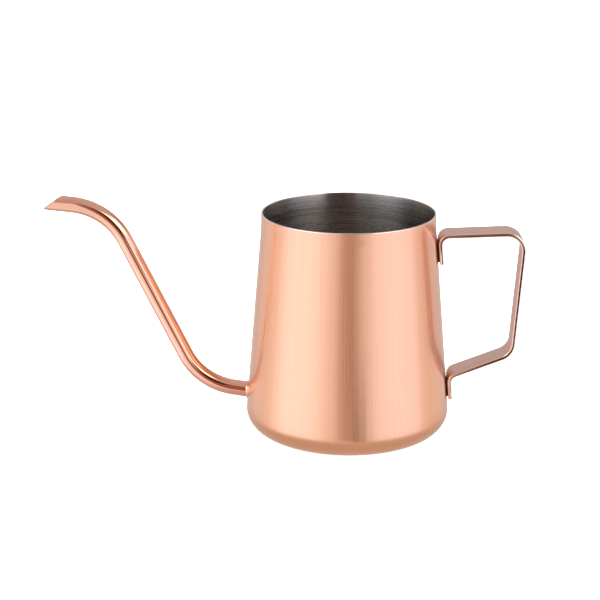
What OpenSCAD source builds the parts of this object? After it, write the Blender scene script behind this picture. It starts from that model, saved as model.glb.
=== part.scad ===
// Open-top gooseneck drip pot: a drawn cup, a welded gooseneck tube and a welded strip handle.
// Origin at the centre of the flat base. +Z is up, the spout points to -X and the handle to +X.

/* [Cup] */
// Outside diameter of the mouth
mouth_d = 73; // [66:1:77]
// Widest outside diameter, just above the rounded base corner
base_d = 86.4; // [82:0.2:92]
// Height of the cup
cup_h = 94; // [92:1:104]
// Straight height below the mouth, before the wall starts to flare
neck_h = 6; // [4:1:10]
// Outside radius of the rounded base corner
corner_r = 8.5; // [5:0.5:10]
// Thickness of the drawn sheet
wall_t = 0.8; // [0.5:0.1:1.2]

/* [Spout] */
// Outside diameter of the gooseneck tube
tube_d = 6.8; // [5.5:0.1:8]
// Wall thickness of the tube
tube_t = 0.6; // [0.4:0.1:1]
// Height at which the tube's axis leaves the wall
spout_z = 15.3; // [14:0.1:18]
// Slope of the stretch next to the wall, in degrees
root_rise = 8; // [0:1:12]
// Distance from the wall to the corner of the lower bend
root_len = 20.5; // [18:0.1:26]
// Slope of the long stretch, in degrees
neck_rise = 64; // [58:1:70]
// Distance from the corner of the lower bend to the corner of the upper bend
neck_len = 85.1; // [75:0.1:92]
// Slope of the stretch at the tip, in degrees
tip_rise = 6; // [0:1:12]
// Distance from the corner of the upper bend to the middle of the cut tip
tip_len = 23.6; // [21:0.1:30]
// Radius of both bends, on the tube's axis
bend_r = 27; // [22:1:30]
// Slope of the cut across the tip, in degrees from level
tip_cut = 35; // [25:1:60]
// Leg of the weld fillet round the foot of the tube
bead_leg = 1.2; // [0.8:0.1:2]

/* [Handle] */
// Width of the handle's strip
strip_w = 13; // [10:0.5:18]
// Thickness of the handle's strip
strip_t = 1.8; // [1.5:0.1:2.5]
// Height of the strip's middle where the upper leg meets its tab
upper_z = 85; // [80:0.1:88]
// Slope of the upper leg, rising away from the cup, in degrees
upper_rise = 2.5; // [0:0.5:6]
// Distance of the outer upper corner from the cup's axis
reach = 73.2; // [68:0.1:85]
// Inward lean of the grip towards its lower end, in degrees
grip_lean = 4.2; // [0:0.2:8]
// Height of the strip's middle where the lower leg meets its tab
lower_z = 23.7; // [22:0.1:28]
// Slope of the lower leg, rising away from the cup, in degrees
lower_rise = 21.5; // [15:0.5:26]
// Bend radius at the grip's two corners, on the strip's middle
grip_bend_r = 7.2; // [5:0.1:9]
// Bend radius at the two tabs, on the strip's middle
tab_bend_r = 3.5; // [3:0.1:4.5]
// Height of the upper tab's lower end
upper_tab_z = 73.1; // [70:0.1:75]
// Height of the lower tab's lower end
lower_tab_z = 13.8; // [12:0.1:15]
// Gap between a tab and the cup's wall, bridged by the weld seam
weld_gap = 0.3; // [0.2:0.1:0.5]
// Width of the weld seam behind a tab
weld_w = 6; // [3:0.5:9]
// Length of the weld seam behind the upper tab
upper_weld_len = 8.6; // [5:0.2:9]
// Length of the weld seam behind the lower tab
lower_weld_len = 7; // [4:0.2:7.4]

/* [Hidden] */
$fn = 360;
// A run reaches this far into a bend, and is this much thinner all round.
lap = 0.15;
seam = 0.01;
copper = [0.87, 0.60, 0.47];
weld_metal = [0.80, 0.52, 0.40];

// Cup: the wall is the line from the neck's foot that touches the round base corner.
mouth_r = mouth_d / 2;
neck_z = cup_h - neck_h;
corner_c = [base_d / 2 - corner_r, corner_r];
neck_foot = [mouth_r, neck_z];
to_neck = neck_foot - corner_c;
wall_lean = atan2(to_neck.y, to_neck.x) - acos(corner_r / norm(to_neck));
wall_normal = [cos(wall_lean), sin(wall_lean)];
function wall_r(z) = mouth_r + (neck_z - z) * tan(wall_lean);

// Spout: corners of its axis in the XZ plane, from the wall to the tip.
bore_r = tube_d / 2 - tube_t;
root_back = 4;
function spout_step(from, slope, dist) = from + dist * [-cos(slope), sin(slope)];
spout_foot = [-wall_r(spout_z), spout_z];
spout_start = spout_step(spout_foot, root_rise, -root_back);
spout_low = spout_step(spout_foot, root_rise, root_len);
spout_high = spout_step(spout_low, neck_rise, neck_len);
spout_tip = spout_step(spout_high, tip_rise, tip_len);
tip_spare = 2 * tube_d;
spout_end = spout_step(spout_tip, tip_rise, tip_spare);

// Handle: corners of the strip's middle line in the XZ plane, from the upper tab to the lower tab.
tab_off = weld_gap + strip_t / 2;
function tab_x(z) = wall_r(z) + tab_off / cos(wall_lean);
function meet(p, u, q, v) = p + u * ((q.x - p.x) * v.y - (q.y - p.y) * v.x) / (u.x * v.y - u.y * v.x);
upper_tab_corner = [tab_x(upper_z), upper_z];
upper_dir = [cos(upper_rise), sin(upper_rise)];
grip_top = upper_tab_corner + upper_dir * (reach - upper_tab_corner.x) / upper_dir.x;
lower_tab_corner = [tab_x(lower_z), lower_z];
grip_foot = meet(grip_top, [sin(grip_lean), cos(grip_lean)],
                 lower_tab_corner, [cos(lower_rise), sin(lower_rise)]);
handle_path = [[tab_x(upper_tab_z), upper_tab_z], upper_tab_corner, grip_top,
               grip_foot, lower_tab_corner, [tab_x(lower_tab_z), lower_tab_z]];
handle_bends = [0, tab_bend_r, grip_bend_r, grip_bend_r, tab_bend_r, 0];

// Heading of a run, and the turn and tangent length at a corner, of a bent path in the XZ plane.
function heading(p, q) = atan2(q.y - p.y, q.x - p.x);
function wrap(a) = a > 180 ? a - 360 : (a < -180 ? a + 360 : a);
function turn(path, i) = wrap(heading(path[i], path[i + 1]) - heading(path[i - 1], path[i]));
function tangent(path, radii, i) =
    i == 0 || i == len(path) - 1 ? 0 : radii[i] * tan(abs(turn(path, i)) / 2);

// Sweeps a flat section along a path, X across the path and Y across the XZ plane. The first child is
// the section of the bends. The second, of the straight runs, is a hair thinner, and each run reaches
// a little way into its bends, so that the pieces join cleanly.
module bent(path, radii) {
    for (i = [0 : len(path) - 2]) {
        a = heading(path[i], path[i + 1]);
        skip = tangent(path, radii, i) - lap;
        run = norm(path[i + 1] - path[i]) - skip - tangent(path, radii, i + 1) + lap;
        start = path[i] + skip * [cos(a), sin(a)];
        translate([start.x, 0, start.y])
            rotate([0, 90 - a, 0])
                linear_extrude(run) children(1);
    }
    for (i = [1 : len(path) - 2]) {
        a = heading(path[i - 1], path[i]);
        bend = turn(path, i);
        side = sign(bend);
        start = path[i] - tangent(path, radii, i) * [cos(a), sin(a)];
        centre = start + radii[i] * side * [-sin(a), cos(a)];
        translate([centre.x, 0, centre.y])
            rotate([90, 0, 0])
                rotate(side > 0 ? a - 90 : a + 90 + bend)
                    rotate_extrude(angle = abs(bend))
                        translate([radii[i], 0]) children(0);
    }
}

// Turns a shape built along +Z to the spout's first stretch, leaving the wall.
module at_spout_foot() {
    translate([spout_foot.x, 0, spout_foot.y])
        rotate([0, root_rise - 90, 0])
            children();
}

// Solid of revolution inside the cup's outer skin, moved in by the given depth.
module cup_form(inset, top) {
    r = corner_r - inset;
    touch = corner_c + r * wall_normal;
    foot = [mouth_r - inset, neck_z - inset * tan(wall_lean / 2)];
    rotate_extrude() {
        translate(corner_c) circle(r);
        polygon([[0, inset], [corner_c.x, inset], corner_c, touch, foot, [foot.x, top], [0, top]]);
    }
}

module pot_body() {
    color(copper)
    difference() {
        cup_form(0, cup_h);
        cup_form(wall_t, cup_h + 1);
        at_spout_foot() cylinder(h = 4 * tube_d, r = bore_r, center = true);
    }
}

// Rod along the spout's axis, from inside the wall to past the tip.
module spout_rod(r) {
    bent([spout_start, spout_low, spout_high, spout_end], [0, bend_r, bend_r, 0]) {
        circle(r);
        circle(r - seam);
    }
}

module spout_tube() {
    color(copper)
    difference() {
        spout_rod(tube_d / 2);
        spout_rod(bore_r);
        cup_form(0, cup_h);
        translate([spout_tip.x, 0, spout_tip.y])
            rotate([0, -tip_cut, 0])
                translate([-tip_spare, 0, tip_spare])
                    cube([4, 2, 2] * tip_spare, center = true);
    }
}

module spout_weld_bead() {
    tube_r = tube_d / 2;
    color(weld_metal)
    difference() {
        at_spout_foot()
            translate([0, 0, -root_back])
                cylinder(h = root_back + bead_leg, r1 = tube_r + bead_leg + root_back, r2 = tube_r + 0.1);
        at_spout_foot() cylinder(h = 8 * bead_leg, r = tube_r, center = true);
        cup_form(0, cup_h);
    }
}

module handle_strap() {
    color(copper)
    bent(handle_path, handle_bends) {
        square([strip_t, strip_w], center = true);
        square([strip_t - 2 * seam, strip_w - 2 * seam], center = true);
    }
}

// Weld seam between the wall and a tab, from just above the tab's lower end: it fills the gap from the
// cup's skin to the tab's face.
module weld_seam(tab_z, length) {
    z = tab_z + weld_gap;
    color(weld_metal)
    difference() {
        translate([wall_r(z), 0, z])
            rotate([0, -wall_lean, 0])
                translate([-1, -weld_w / 2, 0])
                    cube([1 + weld_gap, weld_w, length]);
        cup_form(0, cup_h);
    }
}

module upper_handle_weld() {
    weld_seam(upper_tab_z, upper_weld_len);
}

module lower_handle_weld() {
    weld_seam(lower_tab_z, lower_weld_len);
}

pot_body();
spout_tube();
spout_weld_bead();
handle_strap();
upper_handle_weld();
lower_handle_weld();
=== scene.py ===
import math

import bmesh
import bpy
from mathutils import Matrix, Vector


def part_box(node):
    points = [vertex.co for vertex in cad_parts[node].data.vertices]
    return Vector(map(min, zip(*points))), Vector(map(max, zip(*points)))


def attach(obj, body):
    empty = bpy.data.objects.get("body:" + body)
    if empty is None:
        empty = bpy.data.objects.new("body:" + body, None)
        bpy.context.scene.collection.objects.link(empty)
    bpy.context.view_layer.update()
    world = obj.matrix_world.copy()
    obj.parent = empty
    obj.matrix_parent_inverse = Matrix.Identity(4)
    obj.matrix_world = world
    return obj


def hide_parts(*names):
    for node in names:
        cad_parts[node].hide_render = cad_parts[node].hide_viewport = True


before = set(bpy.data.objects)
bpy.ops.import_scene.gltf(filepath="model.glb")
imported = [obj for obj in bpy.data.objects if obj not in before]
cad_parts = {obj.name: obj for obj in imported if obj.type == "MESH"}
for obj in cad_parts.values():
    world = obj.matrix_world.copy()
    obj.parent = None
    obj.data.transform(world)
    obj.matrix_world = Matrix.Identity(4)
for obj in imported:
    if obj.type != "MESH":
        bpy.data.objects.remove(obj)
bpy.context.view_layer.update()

MM = 0.001

# Driving dimensions that the boxes of the frame don't give, with the names and values of part.scad, in mm.
SPOUT_Z = 15.3
TUBE_T = 0.6
ROOT_RISE = 8
ROOT_LEN = 20.5
NECK_RISE = 64
NECK_LEN = 85.1
TIP_RISE = 6
TIP_LEN = 23.6
SPOUT_BEND_R = 27
TIP_CUT = 35
BEAD_LEG = 1.2
STRIP_T = 1.8
WELD_GAP = 0.3
UPPER_Z = 85
UPPER_RISE = 2.5
REACH = 73.2
GRIP_LEAN = 4.2
LOWER_Z = 23.7
LOWER_RISE = 21.5
GRIP_BEND_R = 7.2
TAB_BEND_R = 3.5
UPPER_TAB_Z = 73.1
LOWER_TAB_Z = 13.8

# Edges and blends that only the visual meshes have, in mm.
RIM_EDGE_R = 0.28
NECK_BLEND_R = 60
STRIP_EDGE_R = 0.55
STRIP_END_R = 0.2
TIP_EDGE_R = 0.18
FOOT_DEPTH = 0.4

# The drill for the hole: its length either way from the wall, and how much wider than the bore, in mm.
DRILL_REACH = 6
DRILL_SPARE = 0.05

# The bead: how far its skin sinks into the tube and the wall, and how deep its root lies under them, in mm.
BEAD_SINK = 0.03
BEAD_WALL_ROOT = 0.45
BEAD_TUBE_ROOT = 0.3

# Rows of the cup's mesh up the wall: a fine step round the spout's hole, then heights, in mm.
HOLE_ROW_STEP = 0.8
WALL_ROWS = [28, 40, 52, 64, 76]

CUP_SEGMENTS = 288
TUBE_SEGMENTS = 64
BEAD_SEGMENTS = 96
FLOOR_SEGMENTS = 96
SHARP_ANGLE = math.radians(32)


# ---------------------------------------------------------------- mesh tools


def make_object(name, verts_mm, faces, materials, face_materials=None):
    """A smooth-shaded mesh object from points in mm, with one material index for each face."""
    mesh = bpy.data.meshes.new(name)
    mesh.from_pydata([Vector(v) * MM for v in verts_mm], [], faces)
    for material in materials:
        mesh.materials.append(material)
    if face_materials:
        mesh.polygons.foreach_set("material_index", face_materials)
    obj = bpy.data.objects.new(name, mesh)
    bpy.context.scene.collection.objects.link(obj)
    finish_mesh(obj)
    return obj


def finish_mesh(obj):
    """Turns every face outwards and shades the mesh smooth, apart from its sharp edges."""
    bm = bmesh.new()
    bm.from_mesh(obj.data)
    bmesh.ops.remove_doubles(bm, verts=bm.verts, dist=1e-7)
    bmesh.ops.recalc_face_normals(bm, faces=bm.faces)
    bm.to_mesh(obj.data)
    bm.free()
    obj.data.polygons.foreach_set("use_smooth", [True] * len(obj.data.polygons))
    obj.data.set_sharp_from_angle(angle=SHARP_ANGLE)


def rings_to_faces(count, size, closed=False):
    """Quads between rings of the same size. closed joins the last ring to the first."""
    faces = []
    for i in range(count if closed else count - 1):
        near = i * size
        far = (i + 1) % count * size
        for k in range(size):
            nxt = (k + 1) % size
            faces.append((near + k, near + nxt, far + nxt, far + k))
    return faces


def polar(angle, r=1.0):
    """Point at an angle in degrees."""
    return Vector((math.cos(math.radians(angle)), math.sin(math.radians(angle)))) * r


def arc(centre, r, start, end, steps):
    """Points along an arc in a plane, from one angle to another, in degrees."""
    return [centre + polar(start + (end - start) * i / steps, r) for i in range(steps + 1)]


def heading(p, q):
    """Angle of the line from p to q, in degrees."""
    return math.degrees(math.atan2(q.y - p.y, q.x - p.x))


def turn_at(a, b, c):
    """Turn of the path a, b, c at b, in degrees, positive to the left."""
    return (heading(b, c) - heading(a, b) + 180) % 360 - 180


def rounded_corner(a, b, c, r, steps):
    """Points that replace the corner b of the path a, b, c by an arc of radius r."""
    turn = turn_at(a, b, c)
    side = 1 if turn > 0 else -1
    along = (b - a).normalized()
    start = b - along * r * math.tan(math.radians(abs(turn)) / 2)
    centre = start + Vector((-along.y, along.x)) * r * side
    first = heading(centre, start)
    return arc(centre, r, first, first + turn, steps)


def quarter_round(r, steps):
    """[(distance in from the side, distance back from the end)] over a rounded edge, from side to end."""
    turns = [math.pi / 2 * k / steps for k in range(steps + 1)]
    return [(r * (1 - math.cos(a)), r * (1 - math.sin(a))) for a in turns]


def bent_path(corners, radii, step_deg):
    """[(point, heading)] along a path in the XZ plane whose corners are bent to the given radii."""
    samples = [(corners[0], heading(corners[0], corners[1]))]
    for i in range(1, len(corners) - 1):
        a, b, c = corners[i - 1 : i + 2]
        turn = turn_at(a, b, c)
        steps = max(4, round(abs(turn) / step_deg))
        points = rounded_corner(a, b, c, radii[i], steps)
        samples += [(p, heading(a, b) + turn * k / steps) for k, p in enumerate(points)]
    samples.append((corners[-1], heading(corners[-2], corners[-1])))
    return samples


def circle(radius):
    """Round section of the tube, or of its bore."""
    return [tuple(polar(360 * k / TUBE_SEGMENTS, radius)) for k in range(TUBE_SEGMENTS)]


def section_ring(point, angle, section):
    """A flat section set across a path: its first coordinate to the path's left, its second along Y."""
    left = polar(angle + 90)
    return [(point.x + left.x * u, v, point.y + left.y * u) for u, v in section]


# ---------------------------------------------------------------- sizes from the frame


def node_points(node):
    """A CAD node's points, in mm."""
    return [v.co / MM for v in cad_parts[node].data.vertices]


def cup_sizes():
    """The cup's sizes, in mm, measured on its CAD node."""
    points = [(math.hypot(p.x, p.y), p.z) for p in node_points("pot_body")]
    top = max(z for _, z in points)
    mouth = max(r for r, z in points if z > top - 0.01)
    inner = min(r for r, z in points if z > top - 0.01)
    straight = [z for r, z in points if abs(r - mouth) < 0.01 and z > top / 2]
    foot = max(r for r, z in points if z < 0.01)
    widest = max(r for r, _ in points)
    return {
        "top": top,
        "mouth_r": mouth,
        "wall_t": mouth - inner,
        "neck_z": min(straight),
        "foot_r": foot,
        "corner_r": widest - foot,
    }


def width_of(node):
    """A CAD node's size along Y, in mm."""
    node_low, node_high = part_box(node)
    return (node_high.y - node_low.y) / MM


CUP = cup_sizes()
TUBE_R = width_of("spout_tube") / 2
STRIP_W = width_of("handle_strap")


def wall_line():
    """(lean in degrees, centre of the base corner, foot of the straight neck) of the cup's outside."""
    centre = Vector((CUP["foot_r"], CUP["corner_r"]))
    neck = Vector((CUP["mouth_r"], CUP["neck_z"]))
    reach = neck - centre
    lean = heading(centre, neck) - math.degrees(math.acos(CUP["corner_r"] / reach.length))
    return lean, centre, neck


WALL_LEAN, CORNER_C, NECK_FOOT = wall_line()


def wall_r(z):
    """Outside radius of the cup's tapered wall at a height."""
    return NECK_FOOT.x + (NECK_FOOT.y - z) * math.tan(math.radians(WALL_LEAN))


# ---------------------------------------------------------------- cup


def cup_side(inset, foot_z, rows):
    """Profile of one skin of the cup, from the flat base to the neck, moved in by inset."""
    r = CUP["corner_r"] - inset
    corner = arc(CORNER_C, r, -90, WALL_LEAN, 20)
    neck_z = NECK_FOOT.y - inset * math.tan(math.radians(WALL_LEAN / 2))
    neck = Vector((NECK_FOOT.x - inset, neck_z))
    straight_up = neck + Vector((0, 1))
    blend = rounded_corner(corner[-1], neck, straight_up, NECK_BLEND_R - inset, 10)
    rise = neck.y - corner[-1].y
    wall = [corner[-1].lerp(neck, (z - corner[-1].y) / rise) for z in rows]
    return [Vector((0, foot_z)), Vector((CORNER_C.x * 0.5, foot_z)), *corner, *wall, *blend]


def rim_edge(top):
    """Profile over the cut rim, from the outside to the inside, with two rounded edges."""
    r = RIM_EDGE_R
    out_x = CUP["mouth_r"]
    in_x = out_x - CUP["wall_t"]
    outer = arc(Vector((out_x - r, top - r)), r, 0, 90, 5)
    inner = arc(Vector((in_x + r, top - r)), r, 90, 180, 5)
    return outer + inner


def cup_profile():
    """Closed profile of the cup, and the rows of it where the rim starts and where the inside starts."""
    rows = [SPOUT_Z + HOLE_ROW_STEP * k for k in range(-6, 7)] + WALL_ROWS
    outside = cup_side(0, 0, rows)
    inside = cup_side(CUP["wall_t"], CUP["wall_t"], rows)
    rim = rim_edge(CUP["top"])
    return outside + rim + inside[::-1], len(outside), len(outside) + len(rim) - 1


def lathe(profile, segments):
    """Points and faces of a closed solid of revolution whose profile starts and ends on the axis."""
    verts = [(0, 0, profile[0].y)]
    for p in profile[1:-1]:
        for k in range(segments):
            a = 2 * math.pi * k / segments
            verts.append((p.x * math.cos(a), p.x * math.sin(a), p.y))
    verts.append((0, 0, profile[-1].y))
    faces = []
    rows = []
    last = len(verts) - 1
    for k in range(segments):
        nxt = (k + 1) % segments
        faces.append((0, 1 + nxt, 1 + k))
        rows.append(0)
        faces.append((last, last - segments + k, last - segments + nxt))
        rows.append(len(profile) - 2)
    for i in range(len(profile) - 3):
        for a, b, c, d in rings_to_faces(2, segments):
            base = 1 + i * segments
            faces.append((base + a, base + b, base + c, base + d))
            rows.append(i + 1)
    return verts, faces, rows


def spout_frame():
    """Foot of the spout's axis on the wall, and its direction, in the XZ plane."""
    return Vector((-wall_r(SPOUT_Z), SPOUT_Z)), polar(180 - ROOT_RISE)


def cut_spout_hole(cup):
    """Cuts the spout's hole through the wall."""
    foot, along = spout_frame()
    section = circle(TUBE_R - TUBE_T + DRILL_SPARE)
    rings = []
    for reach in (-DRILL_REACH, DRILL_REACH):
        rings += section_ring(foot + along * reach, 180 - ROOT_RISE, section)
    faces = rings_to_faces(2, TUBE_SEGMENTS)
    faces.append(tuple(range(TUBE_SEGMENTS)))
    faces.append(tuple(range(2 * TUBE_SEGMENTS - 1, TUBE_SEGMENTS - 1, -1)))
    drill = make_object("drill", rings, faces, [])
    cut = cup.modifiers.new("hole", "BOOLEAN")
    cut.object = drill
    cut.operation = "DIFFERENCE"
    cut.solver = "EXACT"
    shape = cup.evaluated_get(bpy.context.evaluated_depsgraph_get())
    mesh = bpy.data.meshes.new_from_object(shape)
    cup.modifiers.clear()
    cup.data = mesh
    bpy.data.objects.remove(drill)


def make_cup(copper, steel, rim):
    """The drawn cup: copper outside, a paler cut rim, bare steel inside."""
    profile, rim_row, inside_row = cup_profile()
    verts, faces, rows = lathe(profile, CUP_SEGMENTS)
    slots = [0 if row < rim_row else 2 if row < inside_row else 1 for row in rows]
    cup = make_object("cup", verts, faces, [copper, steel, rim], slots)
    cut_spout_hole(cup)
    finish_mesh(cup)
    return cup


# ---------------------------------------------------------------- spout


def spout_corners():
    """Corners of the spout's axis in the XZ plane, from inside the sheet to the middle of the cut tip."""
    foot, along = spout_frame()
    low = foot + along * ROOT_LEN
    high = low + polar(180 - NECK_RISE, NECK_LEN)
    tip = high + polar(180 - TIP_RISE, TIP_LEN)
    return [foot - along * FOOT_DEPTH, low, high, tip]


def tip_reach(u):
    """How far past the tip's middle a line of the tube runs before the cut, by its offset to the left."""
    return u / math.tan(math.radians(TIP_CUT + TIP_RISE))


def tip_ring(tip, radius, back):
    """Ring of the tube at the oblique cut, moved back along the axis."""
    along = polar(180 - TIP_RISE)
    left = polar(270 - TIP_RISE)
    ring = []
    for u, v in circle(radius):
        p = tip + left * u + along * (tip_reach(u) - back)
        ring.append((p.x, v, p.y))
    return ring


def make_spout(copper):
    """The gooseneck: one bent tube with its bore, and a rounded lip round the oblique cut."""
    bore_r = TUBE_R - TUBE_T
    corners = spout_corners()
    path = bent_path(corners, [0, SPOUT_BEND_R, SPOUT_BEND_R, 0], 3)[:-1]
    tip = corners[-1]
    lip = quarter_round(TIP_EDGE_R, 5)
    rings = [section_ring(point, angle, circle(TUBE_R)) for point, angle in path]
    rings += [tip_ring(tip, TUBE_R - inset, back) for inset, back in lip]
    rings += [tip_ring(tip, bore_r + inset, back) for inset, back in reversed(lip)]
    rings += [section_ring(point, angle, circle(bore_r)) for point, angle in reversed(path)]
    verts = [v for ring in rings for v in ring]
    faces = rings_to_faces(len(rings), TUBE_SEGMENTS, closed=True)
    return make_object("spout", verts, faces, [copper])


# ---------------------------------------------------------------- weld bead


def reach_to_wall(radius, angle):
    """Distance along the spout's axis from its foot to where a line of the tube meets the cup's wall."""
    foot, along = spout_frame()
    left = polar(270 - ROOT_RISE)
    u = radius * math.cos(angle)
    v = radius * math.sin(angle)
    s = 0.0
    for _ in range(12):
        p = foot + along * s + left * u
        gap = math.hypot(p.x, v) - wall_r(p.y)
        s -= gap * 0.98
    return s


def bead_point(radius, angle, s):
    """Point at a radius and angle round the spout's axis, at a distance along it."""
    foot, along = spout_frame()
    left = polar(270 - ROOT_RISE)
    p = foot + along * s + left * radius * math.cos(angle)
    return (p.x, radius * math.sin(angle), p.y)


def make_bead(copper):
    """The ground weld round the spout's foot: a concave fillet that is slightly uneven."""
    steps = 8
    verts = []
    for k in range(BEAD_SEGMENTS):
        a = 2 * math.pi * k / BEAD_SEGMENTS
        leg = BEAD_LEG * (1 + 0.07 * math.sin(3 * a + 1) + 0.04 * math.sin(7 * a + 2))
        at_tube = reach_to_wall(TUBE_R, a)
        for i in range(steps + 1):
            turn = math.pi / 2 * i / steps
            radius = TUBE_R - BEAD_SINK + leg * (1 - math.cos(turn))
            lift = leg * (1 - math.sin(turn))
            wall = reach_to_wall(radius, a)
            verts.append(bead_point(radius, a, wall + lift - BEAD_SINK))
        verts.append(bead_point(TUBE_R + leg / 2, a, at_tube - BEAD_WALL_ROOT))
        verts.append(bead_point(TUBE_R - BEAD_TUBE_ROOT, a, at_tube - BEAD_TUBE_ROOT))
    faces = rings_to_faces(BEAD_SEGMENTS, steps + 3, closed=True)
    return make_object("spout_bead", verts, faces, [copper])


# ---------------------------------------------------------------- handle


def tab_x(z):
    """Distance of a tab's middle line from the cup's axis at a height."""
    return wall_r(z) + (WELD_GAP + STRIP_T / 2) / math.cos(math.radians(WALL_LEAN))


def meet(p, u, q, v):
    """Where the line from p along u meets the line from q along v."""
    return p + u * (((q.x - p.x) * v.y - (q.y - p.y) * v.x) / (u.x * v.y - u.y * v.x))


def handle_corners():
    """Corners of the strip's middle line in the XZ plane, from the upper tab's end to the lower tab's."""
    upper = Vector((tab_x(UPPER_Z), UPPER_Z))
    rise = polar(UPPER_RISE)
    top = upper + rise * ((REACH - upper.x) / rise.x)
    lower = Vector((tab_x(LOWER_Z), LOWER_Z))
    foot = meet(top, polar(90 - GRIP_LEAN), lower, polar(LOWER_RISE))
    ends = [Vector((tab_x(z), z)) for z in (UPPER_TAB_Z, LOWER_TAB_Z)]
    return [ends[0], upper, top, foot, lower, ends[1]]


def strip_section(inset=0.0):
    """Section of the strip with rounded edges, moved in by inset."""
    half_t = STRIP_T / 2 - inset
    half_w = STRIP_W / 2 - inset
    r = max(STRIP_EDGE_R - inset, 0.1)
    points = []
    for su, sv, start in ((1, 1, 0), (-1, 1, 90), (-1, -1, 180), (1, -1, 270)):
        centre = Vector((su * (half_t - r), sv * (half_w - r)))
        points += arc(centre, r, start, start + 90, 6)
    return [tuple(p) for p in points]


def end_rings(point, angle, outward):
    """Rings that round off an end of the strip. outward is 1 at the path's end and -1 at its start."""
    rings = []
    for inset, back in quarter_round(STRIP_END_R, 4)[1:]:
        centre = point - polar(angle, back * outward)
        rings.append(section_ring(centre, angle, strip_section(inset)))
    return rings


def make_handle(flat, edge):
    """The handle: one strip with rounded edges, satin on its two flats and polished along its edges."""
    path = bent_path(handle_corners(), [0, TAB_BEND_R, GRIP_BEND_R, GRIP_BEND_R, TAB_BEND_R, 0], 5)
    first, first_angle = path[0]
    last, last_angle = path[-1]
    path[0] = (first + polar(first_angle, STRIP_END_R), first_angle)
    path[-1] = (last - polar(last_angle, STRIP_END_R), last_angle)
    rings = end_rings(first, first_angle, -1)[::-1]
    rings += [section_ring(p, a, strip_section()) for p, a in path]
    rings += end_rings(last, last_angle, 1)
    size = len(rings[0])
    verts = [v for ring in rings for v in ring]
    faces = rings_to_faces(len(rings), size)
    quarter = size // 4
    slots = []
    for i in range(len(faces)):
        k = i % size
        # the face that closes a corner's arc spans to the next corner: a flat on every second side
        slots.append(0 if k % quarter == quarter - 1 and (k // quarter) % 2 == 1 else 1)
    faces.append(tuple(range(size)))
    faces.append(tuple(range(len(verts) - 1, len(verts) - size - 1, -1)))
    slots += [1, 1]
    return make_object("handle", verts, faces, [flat, edge], slots)


# ---------------------------------------------------------------- materials


# The values that most of a noise lies between, and the depth of a fine grain in metres.
NOISE_SPAN = (0.3, 0.7)
GRAIN_DEPTH = 0.00002


def new_material(name):
    """An empty node material: (material, its tree, its shader)."""
    material = bpy.data.materials.new(name)
    material.use_nodes = True
    tree = material.node_tree
    tree.nodes.clear()
    shader = tree.nodes.new("ShaderNodeBsdfPrincipled")
    output = tree.nodes.new("ShaderNodeOutputMaterial")
    tree.links.new(shader.outputs["BSDF"], output.inputs["Surface"])
    return material, tree, shader


def new_metal(name):
    """An empty metal: (material, its tree, its shader)."""
    material, tree, shader = new_material(name)
    shader.inputs["Metallic"].default_value = 1.0
    return material, tree, shader


def axes(tree, kind):
    """X, Y and Z of the point that is shaded, in one kind of texture coordinates."""
    coords = tree.nodes.new("ShaderNodeTexCoord")
    split = tree.nodes.new("ShaderNodeSeparateXYZ")
    tree.links.new(coords.outputs[kind], split.inputs["Vector"])
    return [split.outputs[axis] for axis in "XYZ"]


def noise_at(tree, vector, detail):
    """Noise with about one feature for each unit of the vector."""
    noise = tree.nodes.new("ShaderNodeTexNoise")
    noise.inputs["Scale"].default_value = 1.0
    noise.inputs["Detail"].default_value = detail
    tree.links.new(vector, noise.inputs["Vector"])
    return noise.outputs["Fac"]


def stretched_noise(tree, scale, detail=2.0):
    """Noise in the part's own coordinates, in features per metre along X, Y and Z."""
    coords = tree.nodes.new("ShaderNodeTexCoord")
    mapping = tree.nodes.new("ShaderNodeMapping")
    mapping.inputs["Scale"].default_value = scale
    tree.links.new(coords.outputs["Object"], mapping.inputs["Vector"])
    return noise_at(tree, mapping.outputs["Vector"], detail)


def wall_noise(tree, around, along):
    """Noise that follows the cup's round wall, in features per radian round it and per metre along Z."""
    x, y, z = axes(tree, "Object")
    flat = tree.nodes.new("ShaderNodeCombineXYZ")
    tree.links.new(x, flat.inputs["X"])
    tree.links.new(y, flat.inputs["Y"])
    unit = tree.nodes.new("ShaderNodeVectorMath")
    unit.operation = "NORMALIZE"
    tree.links.new(flat.outputs["Vector"], unit.inputs[0])
    lift = tree.nodes.new("ShaderNodeCombineXYZ")
    tree.links.new(z, lift.inputs["Z"])
    stretch = []
    for vector, scale in ((unit, around), (lift, along)):
        scaled = tree.nodes.new("ShaderNodeVectorMath")
        scaled.operation = "SCALE"
        scaled.inputs["Scale"].default_value = scale
        tree.links.new(vector.outputs["Vector"], scaled.inputs[0])
        stretch.append(scaled.outputs["Vector"])
    total = tree.nodes.new("ShaderNodeVectorMath")
    total.operation = "ADD"
    tree.links.new(stretch[0], total.inputs[0])
    tree.links.new(stretch[1], total.inputs[1])
    return noise_at(tree, total.outputs["Vector"], 2.0)


def to_range(tree, noise, low, high):
    """A noise, which mostly lies within NOISE_SPAN, mapped to low..high."""
    node = tree.nodes.new("ShaderNodeMapRange")
    node.inputs["From Min"].default_value = NOISE_SPAN[0]
    node.inputs["From Max"].default_value = NOISE_SPAN[1]
    node.inputs["To Min"].default_value = low
    node.inputs["To Max"].default_value = high
    tree.links.new(noise, node.inputs["Value"])
    return node.outputs["Result"]


def add_tint(tree, shader, noise, first, second):
    """A base colour that wanders between two with a noise."""
    node = tree.nodes.new("ShaderNodeMix")
    node.data_type = "RGBA"
    node.inputs["A"].default_value = (*first, 1)
    node.inputs["B"].default_value = (*second, 1)
    tree.links.new(to_range(tree, noise, 0, 1), node.inputs["Factor"])
    tree.links.new(node.outputs["Result"], shader.inputs["Base Color"])


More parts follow.
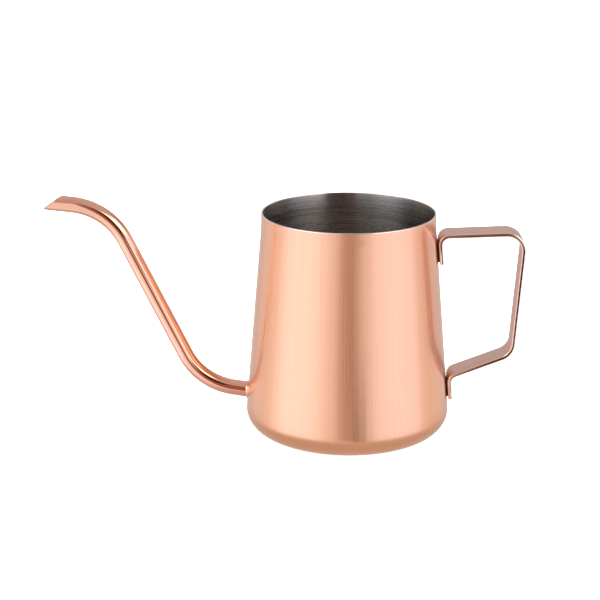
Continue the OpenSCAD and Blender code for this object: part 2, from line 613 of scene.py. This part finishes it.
def add_roughness(tree, shader, noise, low, high):
    """A roughness that wanders between two values with a noise."""
    tree.links.new(to_range(tree, noise, low, high), shader.inputs["Roughness"])


def add_bump(tree, shader, height, strength, distance=GRAIN_DEPTH):
    """Fine relief on a shader, as deep as the distance in metres."""
    bump = tree.nodes.new("ShaderNodeBump")
    bump.inputs["Strength"].default_value = strength
    bump.inputs["Distance"].default_value = distance
    tree.links.new(height, bump.inputs["Height"])
    tree.links.new(bump.outputs["Normal"], shader.inputs["Normal"])


def round_tangent(tree, shader):
    """Tangents that run round the Z axis."""
    tangent = tree.nodes.new("ShaderNodeTangent")
    tangent.direction_type = "RADIAL"
    tangent.axis = "Z"
    tree.links.new(tangent.outputs["Tangent"], shader.inputs["Tangent"])


def add_lacquer(shader):
    """Clear, glossy lacquer over the plate."""
    shader.inputs["Coat Weight"].default_value = 1.0
    shader.inputs["Coat Roughness"].default_value = 0.04
    shader.inputs["Coat IOR"].default_value = 1.55


def brushed_copper():
    """Lacquered copper plate over a fine vertical grain."""
    material, tree, shader = new_metal("brushed_copper")
    shader.inputs["Anisotropic"].default_value = 0.6
    add_lacquer(shader)
    round_tangent(tree, shader)
    fine = wall_noise(tree, 130, 12)
    broad = wall_noise(tree, 34, 5)
    add_tint(tree, shader, broad, (0.875, 0.425, 0.235), (0.905, 0.45, 0.25))
    add_roughness(tree, shader, fine, 0.26, 0.33)
    add_bump(tree, shader, fine, 0.06)
    return material


def bare_steel():
    """Bare stainless steel with a grain that runs round the cup."""
    material, tree, shader = new_metal("bare_steel")
    shader.inputs["Anisotropic"].default_value = 0.94
    shader.inputs["Anisotropic Rotation"].default_value = 0.25
    round_tangent(tree, shader)
    fine = stretched_noise(tree, (9, 9, 1900))
    broad = stretched_noise(tree, (7, 7, 620))
    add_tint(tree, shader, broad, (0.47, 0.43, 0.395), (0.55, 0.50, 0.46))
    add_roughness(tree, shader, fine, 0.23, 0.30)
    add_bump(tree, shader, fine, 0.10)
    return material


def polished_copper(name, roughness, colour):
    """Lacquered copper plate with faint marks of the polishing wheel."""
    material, tree, shader = new_metal(name)
    add_lacquer(shader)
    marks = stretched_noise(tree, (900, 900, 900), 3.0)
    cloud = stretched_noise(tree, (60, 60, 60), 2.0)
    lighter = tuple(min(c * 1.05, 1) for c in colour)
    add_tint(tree, shader, cloud, colour, lighter)
    add_roughness(tree, shader, marks, roughness * 0.8, roughness * 1.25)
    add_bump(tree, shader, marks, 0.03)
    return material


def satin_copper():
    """Matte, pinkish plate on the strip's flats."""
    material, tree, shader = new_metal("satin_copper")
    fine = stretched_noise(tree, (1400, 2200, 1400), 3.0)
    cloud = stretched_noise(tree, (90, 90, 90), 2.0)
    add_tint(tree, shader, cloud, (0.715, 0.495, 0.43), (0.75, 0.52, 0.455))
    add_roughness(tree, shader, fine, 0.3, 0.4)
    add_bump(tree, shader, fine, 0.08, 0.00003)
    return material


def weld_painted_shade():
    """Plated weld metal in the gap behind the tabs, coloured near black: painted shade of that narrow gap.
    """
    material, tree, shader = new_metal("weld_painted_shade")
    rough = stretched_noise(tree, (1200, 1200, 1200), 3.0)
    # The near-black tint is painted shade of the gap behind the tabs, not the weld's own colour.
    add_tint(tree, shader, rough, (0.10, 0.045, 0.03), (0.18, 0.085, 0.055))
    add_roughness(tree, shader, rough, 0.4, 0.6)
    add_bump(tree, shader, rough, 0.3, 0.00005)
    return material


def floor_white():
    """Plain pale floor that glows a little, so that hardly a shadow shows on it."""
    material, tree, shader = new_material("floor_white")
    shader.inputs["Base Color"].default_value = (0.9, 0.9, 0.9, 1)
    shader.inputs["Roughness"].default_value = 0.9
    shader.inputs["Emission Color"].default_value = (1, 1, 1, 1)
    shader.inputs["Emission Strength"].default_value = 0.75
    return material


# ---------------------------------------------------------------- studio

# Soft light of the studio, as patches in the directions round the pot: azimuth from -Y towards +X, and
# elevation, in degrees, the softness of each pair of edges, and the light. Each lies over those before it.
SKY_BASE = (0.66, 0.59, 0.57)
PATCHES = [
    # azimuth from, to, softness, elevation from, to, softness, light
    (-60, 60, 50, -90, 90, 1, (1.04, 1.10, 1.20)),
    (92, 138, 24, -44, 52, 24, (0.87, 0.80, 0.76)),
    (-136, -84, 20, -44, 52, 24, (0.89, 0.85, 0.84)),
    (-90, -34, 26, -44, 52, 24, (1.42, 1.60, 1.93)),
    (32, 92, 16, -44, 44, 14, (1.26, 1.38, 1.74)),
    (38, 54, 10, -4, 20, 10, (1.60, 1.74, 1.95)),
    (-78, -36, 18, 22, 60, 14, (3.55, 3.50, 3.30)),
    (36, 80, 16, 22, 60, 14, (4.00, 3.65, 3.30)),
    (-150, -92, 16, 20, 60, 14, (0.38, 0.36, 0.35)),
    (104, 160, 16, 20, 60, 14, (0.45, 0.43, 0.42)),
    (-180, 180, 1, 43, 100, 10, (0.66, 0.65, 0.70)),
    (-30, 26, 20, 26, 100, 14, (0.58, 0.56, 0.60)),
]

# Dark gaps between the softboxes, as cards in front of the pot, in metres. The first card stands at GAP_Y,
# and each of the others a step nearer to the pot.
GAP_Y = -0.9
GAP_STEP = 0.01
GAPS = [
    # X from, to, softness, Z from, to, softness, light
    (-0.16, 0.21, 0.12, -0.24, 0.80, 0.14, (0.34, 0.18, 0.12)),
    (0.106, 0.34, 0.03, -0.42, -0.13, 0.08, (0.02, 0.01, 0.005)),
    (0.09, 0.56, 0.11, 0.10, 0.80, 0.12, (0.06, 0.03, 0.02)),
]

# The floor's shade round the pot's foot, in metres: full within the first radius, gone at the second.
SHADE_R = (0.050, 0.082)
SHADE_DEPTH = 0.0005
SHADE_LIGHT = (0.62, 0.54, 0.50)

# The floor, in mm: the radius of its flat middle, the radius of the curve at its rim, and the rim's height.
FLOOR_FLAT_R = 2500
FLOOR_CURVE_R = 4000
FLOOR_TOP = 9000

# The lamp over the pot: its place and size in metres, its power in watts, and the point that it faces.
LAMP_AT = Vector((0.1, -0.2, 1.6))
LAMP_SIZE = 1.6
LAMP_POWER = 14
LAMP_AIM = Vector((0, 0, 0.05))

# The camera: its place in metres, its lens in mm, and how far it looks down and to the left, in degrees.
CAMERA_AT = (0, -0.650, 0.253)
CAMERA_LENS = 96.47
CAMERA_DOWN = 16.89
CAMERA_LEFT = 1.784


class Nodes:
    """Short way to write sums in a node tree."""

    def __init__(self, tree):
        self.tree = tree

    def math(self, operation, *values):
        node = self.tree.nodes.new("ShaderNodeMath")
        node.operation = operation
        for socket, value in zip(node.inputs, values):
            if isinstance(value, (int, float)):
                socket.default_value = value
            else:
                self.tree.links.new(value, socket)
        return node.outputs["Value"]

    def smooth(self, value, start, end):
        node = self.tree.nodes.new("ShaderNodeMapRange")
        node.interpolation_type = "SMOOTHSTEP"
        node.inputs["From Min"].default_value = start
        node.inputs["From Max"].default_value = end
        self.tree.links.new(value, node.inputs["Value"])
        return node.outputs["Result"]

    def window(self, value, low, high, soft):
        rise = self.smooth(value, low - soft / 2, low + soft / 2)
        fall = self.smooth(value, high + soft / 2, high - soft / 2)
        return self.math("MULTIPLY", rise, fall)

    def over(self, under, light, share):
        """The light laid over what is under it, by share."""
        node = self.tree.nodes.new("ShaderNodeMix")
        node.data_type = "RGBA"
        self.tree.links.new(share, node.inputs["Factor"])
        self.tree.links.new(under, node.inputs["A"])
        node.inputs["B"].default_value = (*light, 1)
        return node.outputs["Result"]


def make_world():
    """Surroundings that light the pot: a pale studio with a softbox on either side."""
    world = bpy.data.worlds.new("studio")
    bpy.context.scene.world = world
    world.use_nodes = True
    tree = world.node_tree
    tree.nodes.clear()
    n = Nodes(tree)
    x, y, z = axes(tree, "Generated")
    azimuth = n.math("DEGREES", n.math("ARCTAN2", x, n.math("MULTIPLY", y, -1)))
    elevation = n.math("DEGREES", n.math("ARCSINE", z))
    base = tree.nodes.new("ShaderNodeRGB")
    base.outputs["Color"].default_value = (*SKY_BASE, 1)
    light = base.outputs["Color"]
    for az0, az1, az_soft, el0, el1, el_soft, colour in PATCHES:
        share = n.window(elevation, el0, el1, el_soft)
        if az1 - az0 < 360:
            share = n.math("MULTIPLY", share, n.window(azimuth, az0, az1, az_soft))
        light = n.over(light, colour, share)
    background = tree.nodes.new("ShaderNodeBackground")
    output = tree.nodes.new("ShaderNodeOutputWorld")
    tree.links.new(light, background.inputs["Color"])
    tree.links.new(background.outputs["Background"], output.inputs["Surface"])


def veil(name, light, share_of):
    """A plain glow that is clear where share_of(nodes, object coordinates) is 0."""
    material = bpy.data.materials.new(name)
    material.use_nodes = True
    tree = material.node_tree
    tree.nodes.clear()
    share = share_of(Nodes(tree), *axes(tree, "Object"))
    clear = tree.nodes.new("ShaderNodeBsdfTransparent")
    glow = tree.nodes.new("ShaderNodeEmission")
    glow.inputs["Color"].default_value = (*light, 1)
    mix = tree.nodes.new("ShaderNodeMixShader")
    output = tree.nodes.new("ShaderNodeOutputMaterial")
    tree.links.new(share, mix.inputs["Fac"])
    tree.links.new(clear.outputs["BSDF"], mix.inputs[1])
    tree.links.new(glow.outputs["Emission"], mix.inputs[2])
    tree.links.new(mix.outputs["Shader"], output.inputs["Surface"])
    return material


def make_card(name, corners, material):
    """A flat card that reflections see and the camera doesn't, from its four corners in metres."""
    verts = [Vector(corner) / MM for corner in corners]
    card = make_object(name, verts, [(0, 1, 2, 3)], [material])
    card.visible_camera = False
    card.visible_diffuse = False


def make_gap(name, y, x0, x1, x_soft, z0, z1, z_soft, light):
    """A dark gap between the softboxes, in front of the pot."""
    left, right = x0 - x_soft, x1 + x_soft
    foot, top = z0 - z_soft, z1 + z_soft
    corners = [(left, y, foot), (right, y, foot), (right, y, top), (left, y, top)]

    def share(n, x, y, z):
        return n.math("MULTIPLY", n.window(x, x0, x1, x_soft), n.window(z, z0, z1, z_soft))

    make_card(name, corners, veil(name, light, share))


def make_shade():
    """The floor's shade round the pot, just under the floor."""
    r = SHADE_R[1]
    corners = [(x, y, -SHADE_DEPTH) for x, y in ((-r, -r), (r, -r), (r, r), (-r, r))]

    def share(n, x, y, z):
        squares = n.math("ADD", n.math("MULTIPLY", x, x), n.math("MULTIPLY", y, y))
        return n.smooth(n.math("SQRT", squares), SHADE_R[1], SHADE_R[0])

    make_card("foot_shade", corners, veil("foot_shade", SHADE_LIGHT, share))


def make_floor():
    """A wide dish, flat under the pot, with a rim that closes the view. Reflections don't see it."""
    curve = arc(Vector((FLOOR_FLAT_R, FLOOR_CURVE_R)), FLOOR_CURVE_R, -90, 0, 24)
    flat = [Vector((r, 0)) for r in (0, 300, 900)]
    profile = [*flat, *curve, Vector((FLOOR_FLAT_R + FLOOR_CURVE_R, FLOOR_TOP))]
    verts = []
    for p in profile:
        for k in range(FLOOR_SEGMENTS):
            a = 2 * math.pi * k / FLOOR_SEGMENTS
            verts.append((p.x * math.cos(a), p.x * math.sin(a), p.y))
    faces = rings_to_faces(len(profile), FLOOR_SEGMENTS)
    floor = make_object("floor", verts, faces, [floor_white()])
    floor.visible_glossy = False
    floor.visible_shadow = False


def make_lamp():
    """A square soft lamp over the pot that lights the floor and isn't mirrored in the metal."""
    data = bpy.data.lights.new("overhead", "AREA")
    data.size = LAMP_SIZE
    data.energy = LAMP_POWER
    lamp = bpy.data.objects.new("overhead", data)
    lamp.location = LAMP_AT
    lamp.rotation_euler = (LAMP_AIM - LAMP_AT).to_track_quat("-Z", "Y").to_euler()
    lamp.visible_glossy = False
    bpy.context.scene.collection.objects.link(lamp)


def make_camera():
    """A long lens a little above the pot, at the photograph's viewing angle."""
    data = bpy.data.cameras.new("camera")
    data.sensor_width = 36
    data.lens = CAMERA_LENS
    data.clip_start = 0.05
    data.clip_end = 50
    camera = bpy.data.objects.new("camera", data)
    camera.location = CAMERA_AT
    camera.rotation_euler = (math.radians(90 - CAMERA_DOWN), 0, math.radians(CAMERA_LEFT))
    bpy.context.scene.collection.objects.link(camera)
    bpy.context.scene.camera = camera


# ---------------------------------------------------------------- assembly


def place(piece, slot, *nodes):
    """Rides a piece on the pot, in place of its CAD nodes."""
    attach(piece, "root")
    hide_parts(*nodes)


def dress_welds(material):
    """Gives the CAD weld seams their near-black material, which is painted shade of the gap behind the
    tabs.
    """
    for name in ("upper_handle_weld", "lower_handle_weld"):
        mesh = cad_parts[name].data
        mesh.materials.clear()
        mesh.materials.append(material)


make_camera()
make_world()
make_floor()
for index, gap in enumerate(GAPS):
    make_gap("dark_gap_%d" % index, GAP_Y + index * GAP_STEP, *gap)
make_shade()
make_lamp()
bpy.context.scene.view_settings.view_transform = "Standard"

TUBE_COLOUR = (0.86, 0.42, 0.265)
rim = polished_copper("cut_rim", 0.14, (0.84, 0.73, 0.67))
place(make_cup(brushed_copper(), bare_steel(), rim), "cup_copper", "pot_body")
place(make_spout(polished_copper("polished_copper", 0.07, TUBE_COLOUR)), "tube_copper", "spout_tube")
place(make_bead(polished_copper("bead_copper", 0.18, TUBE_COLOUR)), "bead_copper", "spout_weld_bead")
strip_edges = polished_copper("strip_edge_copper", 0.04, (0.88, 0.60, 0.48))
place(make_handle(satin_copper(), strip_edges), "strap_copper", "handle_strap")
# The welds' near-black material is painted shade of the gap behind the tabs.
dress_welds(weld_painted_shade())
